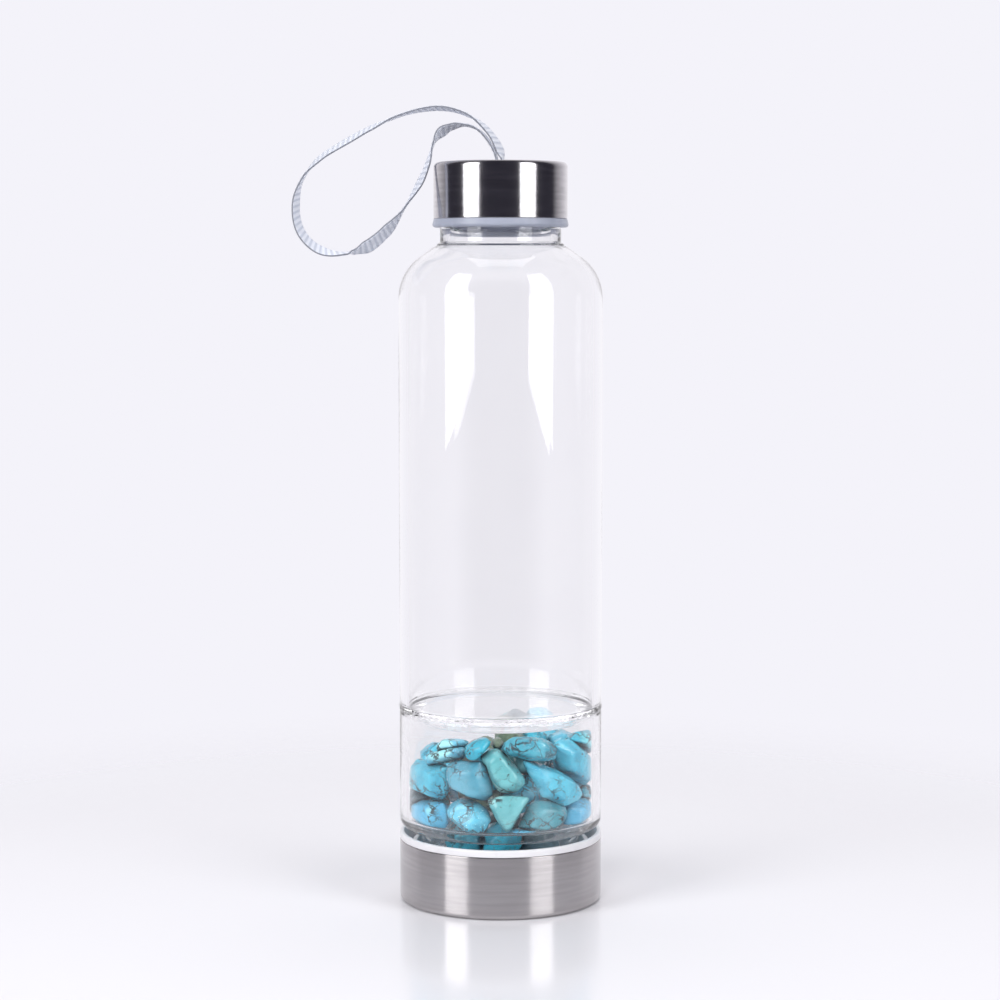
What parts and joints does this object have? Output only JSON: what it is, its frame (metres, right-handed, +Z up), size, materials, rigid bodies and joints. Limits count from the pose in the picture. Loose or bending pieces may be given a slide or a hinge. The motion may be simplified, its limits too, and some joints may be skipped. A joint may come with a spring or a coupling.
{
  "type": "glass water bottle",
  "caption": "Clear glass water bottle with a steel screw cap and wrist strap, a fused glass floor, and a chamber of turquoise stones above a steel screw base.",
  "frame": {"origin": "centre of the base's flat underside, on the bottle's axis", "axes": "+Z up along the bottle's axis, -Y towards the viewer, with the strap's loop on the -X side"},
  "size_m": [0.0986, 0.0654, 0.2559],
  "materials": {
    "clear_glass": "clear and polished, with faint ripples",
    "brushed_steel": "fine brushing around the axis",
    "clip_steel": "plain pressed steel",
    "cap_liner_plastic": "translucent blue-grey",
    "collar_plastic": "satin white",
    "seal_silicone": "matte",
    "strap_ribbon": "fine cross weave",
    "turquoise_stone": "tumbled, mottled and veined"
  },
  "bodies": {
    "base": {"base_cup": "brushed_steel", "base_liner": "collar_plastic"},
    "base_seal": {"base_gasket": "seal_silicone"},
    "bottle": {"glass_bottle": "clear_glass", "stone_01": "turquoise_stone", "stone_02": "turquoise_stone", "stone_03": "turquoise_stone", "stone_04": "turquoise_stone", "stone_05": "turquoise_stone", "stone_06": "turquoise_stone", "stone_07": "turquoise_stone", "stone_08": "turquoise_stone", "stone_09": "turquoise_stone", "stone_10": "turquoise_stone", "stone_11": "turquoise_stone", "stone_12": "turquoise_stone", "stone_13": "turquoise_stone", "stone_14": "turquoise_stone", "stone_15": "turquoise_stone", "stone_16": "turquoise_stone", "stone_17": "turquoise_stone", "stone_18": "turquoise_stone", "stone_19": "turquoise_stone", "stone_20": "turquoise_stone", "stone_21": "turquoise_stone", "stone_22": "turquoise_stone", "stone_23": "turquoise_stone", "stone_24": "turquoise_stone", "stone_25": "turquoise_stone", "stone_26": "turquoise_stone", "stone_27": "turquoise_stone", "stone_28": "turquoise_stone", "stone_29": "turquoise_stone", "stone_30": "turquoise_stone", "stone_31": "turquoise_stone", "stone_32": "turquoise_stone", "stone_33": "turquoise_stone", "stone_34": "turquoise_stone", "stone_35": "turquoise_stone", "stone_36": "turquoise_stone", "stone_37": "turquoise_stone", "stone_38": "turquoise_stone", "stone_39": "turquoise_stone", "stone_40": "turquoise_stone", "stone_41": "turquoise_stone", "stone_42": "turquoise_stone", "stone_43": "turquoise_stone", "stone_44": "turquoise_stone", "stone_45": "turquoise_stone", "stone_46": "turquoise_stone", "stone_47": "turquoise_stone", "stone_48": "turquoise_stone", "stone_49": "turquoise_stone", "stone_50": "turquoise_stone"},
    "cap_seal": {"cap_gasket": "seal_silicone"},
    "cap": {"cap_shell": "brushed_steel", "cap_liner": "cap_liner_plastic", "strap_clip": "clip_steel", "strap": "strap_ribbon"}
  },
  "joints": [
    {"name": "base_turn", "type": "hinge", "parent": "base", "child": "base_seal", "pos_m": [0, 0, 0], "axis": [0, 0, 1], "range_deg": [0, 1440]},
    {"name": "bottle_lift", "type": "slide", "parent": "base_seal", "child": "bottle", "axis": [0, 0, 1], "range_m": [0, 0.018]},
    {"name": "cap_lift", "type": "slide", "parent": "bottle", "child": "cap_seal", "axis": [0, 0, 1], "range_m": [0, 0.018]},
    {"name": "cap_turn", "type": "hinge", "parent": "cap_seal", "child": "cap", "pos_m": [0, 0, 0.2204], "axis": [0, 0, 1], "range_deg": [0, 1440]}
  ],
  "couplings": [
    {"joint": "bottle_lift", "follows": "base_turn", "m_per_rad": 0.00071619},
    {"joint": "cap_lift", "follows": "cap_turn", "m_per_rad": 0.00071619}
  ]
}
